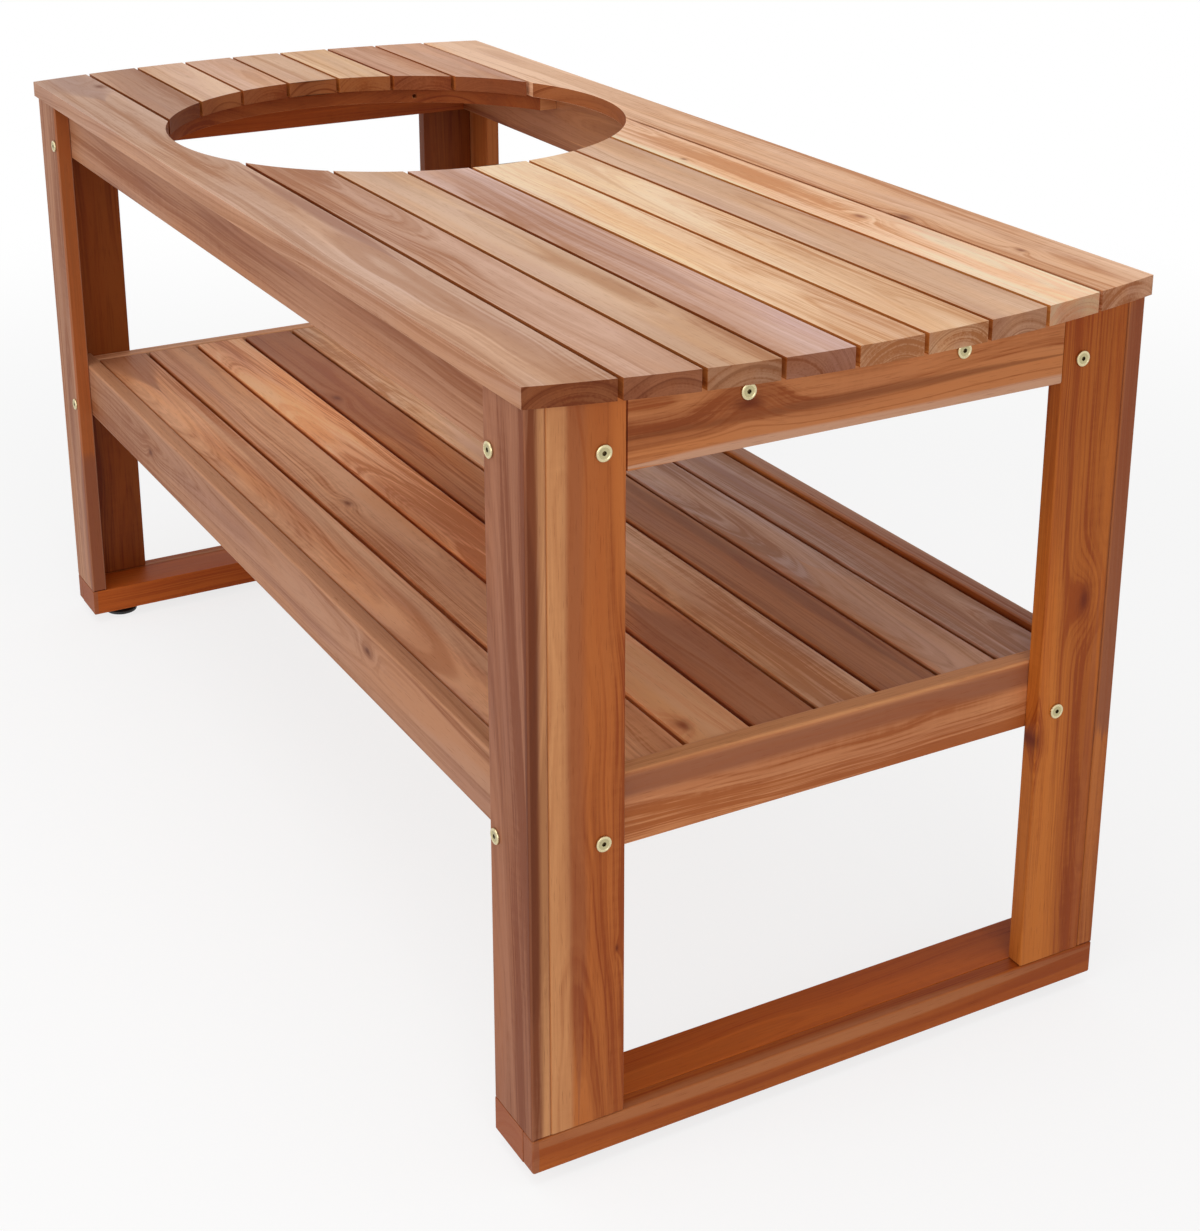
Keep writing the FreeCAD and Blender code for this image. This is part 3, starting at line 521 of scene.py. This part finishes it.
LONG_SLATS = [
    dict(tone="rosy", seed=111.3, heart=0.2, figure=1.3, dive=0.01, end_soak=0.9),
    dict(tone="honey", seed=114.8, heart=0.15, shade=0.84, streak=(0.02, 0, 0.5), streak_size=(0.004, 1, 0.7),
         streak_reach=(-0.2, 0.3, 0.3), streak_tone="straw"),
    dict(tone="mauve", seed=117.4, heart=0.25, shade=1.1, end_soak=0.85, pith=(-0.03, -0.03), streak=(0.008, 0, 0.3),
         streak_size=(0.026, 1, 0.5), streak_reach=(-0.15, 0.4, 0.35), streak_tone="plum"),
    dict(tone="straw", seed=120.6, heart=0.1, shade=1.1, figure=1.3, streak=(0, 0, 0.25),
         streak_size=(0.04, 1, 0.5), streak_reach=(0.36, 0.10, 0.09), streak_tone="fawn"),
    dict(tone="straw", seed=123.9, heart=0.15, shade=1.08, figure=1.3, drift=0.02, dive=-0.02),
    dict(tone="honey", seed=126.1, heart=0.1, shade=0.95, rings=0.005),
    dict(tone="honey", seed=129.7, heart=0.1, shade=1.43, figure=1.2, knot=(0.10, 0.004, 0.009),
         knot_two=(-0.22, -0.02, 0.006)),
]
for number, look in enumerate(LONG_SLATS, 1):
    plank(f"near_top_slat_{number}", "top_boards", cuts=[hole_cutter(), bow_cutter(1)], edge=1.0,
          easing=0.003, **{"end_soak": 0.65, **look})

SHORT_SLATS = [("rosy", 0.9), ("honey", 1.0), ("tan", 1.12), ("honey", 1.0), ("straw", 1.0), ("rosy", 1.25),
               ("rosy", 1.25)]
for number, (tone, shade) in enumerate(SHORT_SLATS, 1):
    plank(f"far_top_slat_{number}", "top_boards", tone, 131.2 + 2.3 * number, cuts=[hole_cutter(), bow_cutter(-1)],
          shade=shade, edge=1.0, easing=0.003, heart=0.2)


# Cleats and battens: acacia strips screwed under the slats. Two are cut to an arc behind the rim of the cut-out.
# The cleats show through the cut-out. One batten crosses the long slats of the top and three cross the shelf's.

CLEAT_ARC, CLEAT_CUT_TO = HOLE_RADIUS + 0.010, 0.79
SPARE_HOLE_RADIUS, SPARE_HOLE_X, SPARE_HOLE = 0.003, (-0.565, -0.52), (0.143, 0.764)
for end, tone, seed in (("near", "amber", 151.2), ("far", "sapwood", 153.8)):
    cuts = [(drum("cleat arc", CLEAT_ARC, (HOLE_X, 0, CUT_FROM), (HOLE_X, 0, CLEAT_CUT_TO), corners=256), "DIFFERENCE")]
    if end == "far":
        start, stop = ((x, *SPARE_HOLE) for x in SPARE_HOLE_X)
        cuts.append((drum("spare screw hole", SPARE_HOLE_RADIUS, start, stop, "x", 32), "DIFFERENCE"))
    plank(f"{end}_arc_cleat", "inner_boards", tone, seed, cuts=cuts, easing=0.001, heart=0.3)
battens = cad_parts["cross_battens"]
for place in battens.material_slots:
    place.material = wood("cross_battens", *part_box("cross_battens"), "amber", 156.4, heart=0.3)


# Frame bolts: twenty flat-headed furniture bolts of yellow zinc-plated steel, 15.8 mm over the head.
# Each is turned home with a 4 mm hexagon key, through a leg board or an end apron into its insert nut.

def clouded(name, colour, darkest, scale, detail, spread, gloss, relief, metallic=0.0):
    """A material whose colour, gloss and surface vary a little with a fine noise."""
    material, tree, shader = new_material(name)
    shader.inputs["Metallic"].default_value = metallic
    spot = add(tree, "ShaderNodeTexCoord").outputs["Object"]
    cloud = add(tree, "ShaderNodeTexNoise", {"Vector": spot, "Scale": scale, "Detail": detail}).outputs["Fac"]
    ramp = add(tree, "ShaderNodeValToRGB", {0: cloud})
    low, high = ramp.color_ramp.elements
    low.position, high.position = spread
    low.color, high.color = [part * darkest for part in colour[:3]] + [1], colour
    rough = add(tree, "ShaderNodeMapRange", {0: cloud, 3: gloss[0], 4: gloss[1]}).outputs[0]
    bump = add(tree, "ShaderNodeBump", {"Strength": relief, "Distance": 0.0001, "Height": cloud}).outputs[0]
    for source, place in ((ramp.outputs[0], "Base Color"), (rough, "Roughness"), (bump, "Normal")):
        tree.links.new(source, shader.inputs[place])
    return material


def metal(name, colour, roughness):
    """Plated metal with a faint cloudy finish."""
    return clouded(name, colour, darkest=0.8, scale=900.0, detail=3.0, spread=(0.3, 0.7),
                   gloss=(roughness - 0.05, roughness + 0.1), relief=0.1, metallic=1.0)


def faces_at(piece, test):
    """In edit mode: selects just the faces whose middle and normal pass the test."""
    bpy.ops.object.mode_set(mode="OBJECT")
    for part in (piece.data.vertices, piece.data.edges, piece.data.polygons):
        part.foreach_set("select", [False] * len(part))
    for face in piece.data.polygons:
        face.select = test(face.center, face.normal)
    bpy.ops.object.mode_set(mode="EDIT")
    bpy.ops.mesh.select_mode(type="FACE")


def twin(model, name, move):
    """A copy of the model with a mesh of its own, moved by the matrix."""
    copy = model.copy()
    copy.data = model.data.copy()
    copy.name = copy.data.name = name
    bpy.context.scene.collection.objects.link(copy)
    copy.data.transform(move)
    return copy


yellow_zinc = metal("yellow zinc", paint(226, 212, 168), 0.26)
# a duller zinc, painted darker as shade, for the dish of each head
dull_shaded_zinc = metal("yellow zinc painted darker as shade in the dish", paint(198, 186, 142), 0.36)
# zinc painted dark as shade for the walls of the key socket
socket_shade_zinc = metal("yellow zinc painted dark as shade in the key socket", paint(104, 86, 56), 0.5)
BOLT_HEAD, BOLT_RIM, BOLT_SEAT, BOLT_SHANK, BOLT_LENGTH = 0.0079, 0.0009, 0.0005, 0.0039, 0.033
# the rise of each ring of the head and how far it widens or narrows
BOLT_CROWN = ((0.0001, BOLT_HEAD / (BOLT_HEAD - BOLT_RIM)), (0.0009, 1.0), (0.0005, 0.97), (0.0004, 0.9),
              (0.0001, 0.88))
KEY_SOCKET, SOCKET_EDGE, DISH_EDGE, DISH_FLOOR = 0.0024, 0.0029, 0.0052, 0.0020
bpy.ops.object.select_all(action="DESELECT")
bpy.ops.mesh.primitive_cylinder_add(vertices=48, radius=BOLT_HEAD - BOLT_RIM, depth=BOLT_SEAT,
                                    location=(0, 0, BOLT_SEAT / 2))
bolt = bpy.context.object
bpy.ops.object.transform_apply(location=True, rotation=False, scale=False)
bpy.ops.object.mode_set(mode="EDIT")
# the shank below, then the rim, the crown and the dish above
faces_at(bolt, lambda middle, normal: normal.z < -0.9)
bpy.ops.mesh.inset(thickness=BOLT_HEAD - BOLT_RIM - BOLT_SHANK)
bpy.ops.mesh.extrude_region_move(TRANSFORM_OT_translate={"value": (0, 0, -BOLT_LENGTH)})
faces_at(bolt, lambda middle, normal: normal.z > 0.9)
for rise, spread in BOLT_CROWN:
    bpy.ops.mesh.extrude_region_move(TRANSFORM_OT_translate={"value": (0, 0, rise)})
    bpy.ops.transform.resize(value=(spread, spread, 1))
bpy.ops.mesh.inset(thickness=0.0007, depth=-0.0004)
bpy.ops.object.mode_set(mode="OBJECT")
carve(bolt, drum("key socket", KEY_SOCKET, (0, 0, 0.0002), (0, 0, 0.0040), corners=6))
alone(bolt)
bpy.ops.object.shade_smooth_by_angle(angle=math.radians(35))
for finish in (yellow_zinc, dull_shaded_zinc, socket_shade_zinc):
    bolt.data.materials.append(finish)
for face in bolt.data.polygons:
    middle = face.center.xy.length
    # painted shade: the key socket's walls take the dark zinc
    if middle < SOCKET_EDGE and 0 < face.center.z < DISH_FLOOR:
        face.material_index = 2
    # the dish's floor takes the duller zinc painted darker as shade
    elif face.normal.z > 0.9 and middle < DISH_EDGE:
        face.material_index = 1
END_FACE, END_BOLT_Y, END_BOLT_HEIGHTS = 0.740, 0.2625, (0.346, 0.722)
SIDE_FACE, SIDE_BOLT_X, SIDE_BOLT_HEIGHTS = 0.3375, 0.674, (0.341, 0.717)
APRON_BOLT_Y, APRON_BOLT_HEIGHT = 0.118, 0.753
bolt_spots = []
for way in (1, -1):
    for side in (1, -1):
        bolt_spots += [("x", way, (way * END_FACE, side * END_BOLT_Y, height)) for height in END_BOLT_HEIGHTS]
        bolt_spots += [("y", side, (way * SIDE_BOLT_X, side * SIDE_FACE, height)) for height in SIDE_BOLT_HEIGHTS]
        bolt_spots.append(("x", way, (way * END_FACE, side * APRON_BOLT_Y, APRON_BOLT_HEIGHT)))
for number, (axis, way, spot) in enumerate(bolt_spots, 1):
    aim = Vector((way, 0, 0)) if axis == "x" else Vector((0, way, 0))
    turn = aim.to_track_quat("Z", "X").to_matrix().to_4x4() @ Matrix.Rotation(number * 0.7, 4, "Z")
    copy = twin(bolt, f"frame_bolt_{number}", Matrix.Translation(spot) @ turn)
    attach(copy, "frame")
    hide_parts("frame_bolts")
bpy.data.objects.remove(bolt)


# Insert nuts: threaded sleeves of plated steel, driven into the rails behind the bolts and into the runners.
# Only the four in the runners, over the feet, show from below.

nut_metal = metal("plated nut", paint(196, 184, 150), 0.4)
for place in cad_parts["insert_nuts"].material_slots:
    place.material = nut_metal


# Wood screws: steel screws with a cross recess, driven up through the cleats, the battens and the runners' strips.
# They show only from below. Four more run inwards through the long shelf rails, with their heads behind the legs.

screw_steel = metal("screw steel", paint(190, 186, 176), 0.35)
SCREW_HEAD, SCREW_RIM, RIM_HEIGHT, SCREW_SHANK = 0.004, 0.0012, 0.0014, 0.002
STRAIGHT_LENGTH, POINT_LENGTH, CROSS_SLOT = 0.029, 0.0055, (0.0042, 0.0008, 0.0026)
bpy.ops.object.select_all(action="DESELECT")
bpy.ops.mesh.primitive_cylinder_add(vertices=24, radius=SCREW_HEAD, depth=SCREW_RIM, location=(0, 0, RIM_HEIGHT))
screw = bpy.context.object
bpy.ops.object.transform_apply(location=True, rotation=False, scale=False)
bpy.ops.object.mode_set(mode="EDIT")
# the crown of the head below, the shank and its point above
faces_at(screw, lambda middle, normal: normal.z < -0.9)
for rise, spread in ((0.0005, 0.94), (0.0003, 0.78)):
    bpy.ops.mesh.extrude_region_move(TRANSFORM_OT_translate={"value": (0, 0, -rise)})
    bpy.ops.transform.resize(value=(spread, spread, 1))
faces_at(screw, lambda middle, normal: normal.z > 0.9)
bpy.ops.mesh.inset(thickness=SCREW_HEAD - SCREW_SHANK)
bpy.ops.mesh.extrude_region_move(TRANSFORM_OT_translate={"value": (0, 0, STRAIGHT_LENGTH)})
bpy.ops.mesh.extrude_region_move(TRANSFORM_OT_translate={"value": (0, 0, POINT_LENGTH)})
bpy.ops.transform.resize(value=(0.15, 0.15, 1))
bpy.ops.object.mode_set(mode="OBJECT")
for turn in (0, math.pi / 2):
    bpy.ops.object.select_all(action="DESELECT")
    bpy.ops.mesh.primitive_cube_add(size=1, location=(0, 0, 0), rotation=(0, 0, turn), scale=CROSS_SLOT)
    carve(screw, bpy.context.object)
alone(screw)
bpy.ops.object.shade_smooth_by_angle(angle=math.radians(35))
screw.data.materials.append(screw_steel)
# how far each row of screws is from the middle, in millimetres, and the heights at which they start
TOP_ROWS, SHELF_ROWS = (0, 74, 148, 222, 279.5), (36.9, 110.7, 184.4, 258.2)
TOP_START, SHELF_START, RUNNER_START = 0.753, 0.352, 0.029
END_BATTEN_X, RAIL_FACE, RAIL_SCREW_HEIGHT = 0.68, 0.3175, 0.364
screw_spots = [("up", (way * FRONT_SCREW_X, side * FRONT_SCREW_Y, RUNNER_START)) for way in (1, -1) for side in (1, -1)]
for x, rows in ((-0.622, TOP_ROWS), (0.082, TOP_ROWS), (0.4, TOP_ROWS[::2])):
    both_sides = sorted({way * row for row in rows for way in (1, -1)})
    screw_spots += [("up", (x, row / 1000, TOP_START)) for row in both_sides]
for x in (-END_BATTEN_X, END_BATTEN_X):
    screw_spots += [("up", (x, side * row / 1000, SHELF_START)) for row in SHELF_ROWS for side in (1, -1)]
    screw_spots += [("in", (x, side * RAIL_FACE, RAIL_SCREW_HEIGHT)) for side in (1, -1)]
screw_spots += [("up", (0, row / 1000, SHELF_START)) for row in (184.4, 36.9, -110.7, -258.2)]
for number, (way, spot) in enumerate(screw_spots, 1):
    turn = Matrix.Rotation(number * 0.9, 4, "Z")
    if way == "in":
        turn = Vector((0, -spot[1], 0)).to_track_quat("Z", "X").to_matrix().to_4x4() @ turn
    copy = twin(screw, f"wood_screw_{number}", Matrix.Translation(spot) @ turn)
    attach(copy, "frame")
    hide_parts("wood_screws")
bpy.data.objects.remove(screw)


# Levelling feet: a round pad of black nylon at each corner, and an M8 stud of plated steel that turns in it.
# The stud turns in its nut and runs out of the runner's bore, and takes the pad down with it.

foot_plastic = clouded("black nylon", paint(34, 32, 32), darkest=0.7, scale=1400.0, detail=2.0, spread=(0.0, 1.0),
                       gloss=(0.42, 0.6), relief=0.2)
PAD_RADIUS, PAD_ROUNDING, PAD_HEIGHT, STUD_RADIUS = 0.0225, 0.0006, 0.011, 0.004
# the rise and radius of each ring: the rounded rim, the sloping skirt with its step, and the boss round the stud
PAD_RINGS = ((0.0007, 0.0225), (0.0022, 0.0225), (0.0006, 0.0222), (0.0002, 0.0216), (0.0001, 0.0202),
             (-0.0004, 0.0198), (0.0012, 0.0176), (0.0012, 0.0140), (0.0014, 0.0112), (0.0016, 0.0102),
             (0.0011, 0.0101), (0.0005, 0.0095))
bpy.ops.object.select_all(action="DESELECT")
bpy.ops.mesh.primitive_cylinder_add(vertices=64, radius=PAD_RADIUS - PAD_ROUNDING, depth=PAD_ROUNDING,
                                    location=(0, 0, PAD_ROUNDING / 2))
pad = bpy.context.object
bpy.ops.object.transform_apply(location=True, rotation=False, scale=False)
bpy.ops.object.mode_set(mode="EDIT")
faces_at(pad, lambda middle, normal: normal.z > 0.9)
radius = PAD_RADIUS - PAD_ROUNDING
for rise, new_radius in PAD_RINGS:
    bpy.ops.mesh.extrude_region_move(TRANSFORM_OT_translate={"value": (0, 0, rise)})
    bpy.ops.transform.resize(value=(new_radius / radius, new_radius / radius, 1))
    radius = new_radius
bpy.ops.object.mode_set(mode="OBJECT")
carve(pad, drum("stud socket", STUD_RADIUS + 0.0001, (0, 0, 0.003), (0, 0, 0.02), corners=48))
alone(pad)
bpy.ops.object.shade_smooth_by_angle(angle=math.radians(35))
pad.data.materials.append(foot_plastic)

stud_steel = metal("plated stud", paint(200, 194, 176), 0.32)
THREAD_PITCH, THREAD_DEPTH, THREAD_START = 0.00125, 0.0006, PAD_HEIGHT + 0.002
STUD_BOTTOM, STUD_TOP, COLLAR_WIDTH, COLLAR_HEIGHT = 0.0033, 0.043, 0.014, 0.004
bpy.ops.object.select_all(action="DESELECT")
bpy.ops.mesh.primitive_cylinder_add(vertices=32, radius=STUD_RADIUS, depth=THREAD_START - STUD_BOTTOM,
                                    location=(0, 0, (THREAD_START + STUD_BOTTOM) / 2))
stud = bpy.context.object
bpy.ops.object.transform_apply(location=True, rotation=False, scale=False)
bpy.ops.object.mode_set(mode="EDIT")
faces_at(stud, lambda middle, normal: normal.z > 0.9)
height, radius, root = THREAD_START, STUD_RADIUS, STUD_RADIUS - THREAD_DEPTH
# the thread as a stack of rings, each from root to crest, and the chamfered tip
while height + THREAD_PITCH < STUD_TOP:
    for new_radius in (root, STUD_RADIUS):
        bpy.ops.mesh.extrude_region_move(TRANSFORM_OT_translate={"value": (0, 0, THREAD_PITCH / 2)})
        bpy.ops.transform.resize(value=(new_radius / radius, new_radius / radius, 1))
        height, radius = height + THREAD_PITCH / 2, new_radius
bpy.ops.mesh.extrude_region_move(TRANSFORM_OT_translate={"value": (0, 0, STUD_TOP - height)})
bpy.ops.transform.resize(value=(root / radius, root / radius, 1))
bpy.ops.object.mode_set(mode="OBJECT")
bpy.ops.object.select_all(action="DESELECT")
bpy.ops.mesh.primitive_cylinder_add(vertices=6, radius=COLLAR_WIDTH / math.sqrt(3), depth=COLLAR_HEIGHT,
                                    location=(0, 0, PAD_HEIGHT + COLLAR_HEIGHT / 2))
collar = bpy.context.object
chamfer = collar.modifiers.new("chamfer", "BEVEL")
chamfer.width, chamfer.segments, chamfer.limit_method, chamfer.angle_limit = 0.0004, 2, "ANGLE", SHARP
alone(collar)
bpy.ops.object.modifier_apply(modifier=chamfer.name)
carve(stud, collar, "UNION")
alone(stud)
bpy.ops.object.shade_smooth_by_angle(angle=math.radians(30))
stud.data.materials.append(stud_steel)
for corner, way, side in (("near_left", 1, -1), ("near_right", 1, 1), ("far_left", -1, -1), ("far_right", -1, 1)):
    for model, kind, slot in ((pad, "pad", "foot_plastic"), (stud, "stud", "stud_steel")):
        move = Matrix.Translation((way * FOOT_X, side * FOOT_Y, 0))
        copy = twin(model, f"{corner}_levelling_{kind}", move)
        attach(copy, f"{corner}_{kind}")
        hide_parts(f"{corner}_foot_{kind}")
bpy.data.objects.remove(pad)
bpy.data.objects.remove(stud)


# Studio: a plain white floor that fades into a white background, and three broad soft lamps: above, in front and left.
# The lamps and the world together light a level white surface to about its own colour.

FADE_FROM, FADE_TO, NEAR_GLOW, ROOM_LIGHT = 1.2, 3.0, 0.78, 0.47


def looked_at(tree):
    """1 for the rays that meet the eye: straight from the camera, off gloss or through glass."""
    rays = add(tree, "ShaderNodeLightPath").outputs
    seen = rays["Is Camera Ray"]
    for kind in ("Is Glossy Ray", "Is Transmission Ray"):
        seen = add(tree, "ShaderNodeMath", {0: seen, 1: rays[kind]}, operation="MAXIMUM").outputs[0]
    return seen


def studio_floor():
    bpy.ops.object.select_all(action="DESELECT")
    bpy.ops.mesh.primitive_plane_add(size=40, location=(0, 0, 0))
    floor = bpy.context.object
    floor.name = "studio_floor"
    material = bpy.data.materials.new("studio white")
    material.use_nodes = True
    tree = material.node_tree
    tree.nodes.clear()
    white = add(tree, "ShaderNodeBsdfDiffuse", {"Color": (0.95, 0.95, 0.95, 1)}).outputs[0]
    glow = add(tree, "ShaderNodeEmission", {"Color": (1, 1, 1, 1), "Strength": 1.0}).outputs[0]
    spot = add(tree, "ShaderNodeTexCoord").outputs["Object"]
    away = add(tree, "ShaderNodeVectorMath", {0: spot}, operation="LENGTH").outputs["Value"]
    limits = {0: away, 1: FADE_FROM, 2: FADE_TO, 3: NEAR_GLOW, 4: 1.0}
    fade = add(tree, "ShaderNodeMapRange", limits, interpolation_type="SMOOTHSTEP").outputs[0]
    share = add(tree, "ShaderNodeMath", {0: looked_at(tree), 1: fade}, operation="MULTIPLY").outputs[0]
    lit = add(tree, "ShaderNodeMixShader", {0: share, 1: white, 2: glow}).outputs[0]
    clear = add(tree, "ShaderNodeBsdfTransparent").outputs[0]
    under = add(tree, "ShaderNodeNewGeometry").outputs["Backfacing"]
    whole = add(tree, "ShaderNodeMixShader", {0: under, 1: lit, 2: clear}).outputs[0]
    leaving = add(tree, "ShaderNodeOutputMaterial")
    tree.links.new(whole, leaving.inputs[0])
    floor.data.materials.append(material)


def soft_lamp(name, place, aim, size, power):
    lamp = bpy.data.objects.new(name, bpy.data.lights.new(name, "AREA"))
    lamp.data.shape = "DISK"
    lamp.data.size = size
    lamp.data.energy = power
    lamp.location = place
    lamp.rotation_mode = "QUATERNION"
    lamp.rotation_quaternion = (Vector(aim) - Vector(place)).to_track_quat("-Z", "Y")
    bpy.context.scene.collection.objects.link(lamp)


studio_floor()
soft_lamp("overhead lamp", (0.6, -0.6, 3.4), (0, 0, 0.5), 3.0, 36)
soft_lamp("front lamp", (4.2, -1.0, 1.8), (0.3, 0, 0.4), 2.2, 30)
soft_lamp("side lamp", (0.5, -4.0, 1.6), (0, 0, 0.4), 2.2, 40)

world = bpy.data.worlds.new("white room")
world.use_nodes = True
bpy.context.scene.world = world
sky = world.node_tree
sky.nodes.clear()
dome = add(sky, "ShaderNodeBackground", {0: (1, 1, 1, 1), 1: ROOM_LIGHT}).outputs[0]
backdrop = add(sky, "ShaderNodeBackground", {0: (1, 1, 1, 1), 1: 1.0}).outputs[0]
room = add(sky, "ShaderNodeMixShader", {0: looked_at(sky), 1: dome, 2: backdrop}).outputs[0]
sky.links.new(room, add(sky, "ShaderNodeOutputWorld").inputs[0])

bpy.context.scene.view_settings.view_transform = "Standard"


# Camera: it stands off the near left corner, over half a metre above the top, as in the photograph.
# Its lens suits a picture of 1200 x 1231, and a small downward shift keeps the legs nearer upright.

VIEW_PIXELS, VIEW_SIDE = 2150.0, 1231
camera = bpy.data.objects.new("camera", bpy.data.cameras.new("camera"))
camera.data.sensor_width = 36
camera.data.lens = camera.data.sensor_width * VIEW_PIXELS / VIEW_SIDE
camera.data.shift_y = -0.2
camera.location = (2.2240, -1.0907, 1.3674)
yaw, pitch = math.radians(150.93), math.radians(-18.57)
looking = Vector((math.cos(yaw) * math.cos(pitch), math.sin(yaw) * math.cos(pitch), math.sin(pitch)))
camera.rotation_mode = "QUATERNION"
camera.rotation_quaternion = looking.to_track_quat("-Z", "Y")
camera.data.clip_start, camera.data.clip_end = 0.05, 100
bpy.context.scene.collection.objects.link(camera)
bpy.context.scene.camera = camera
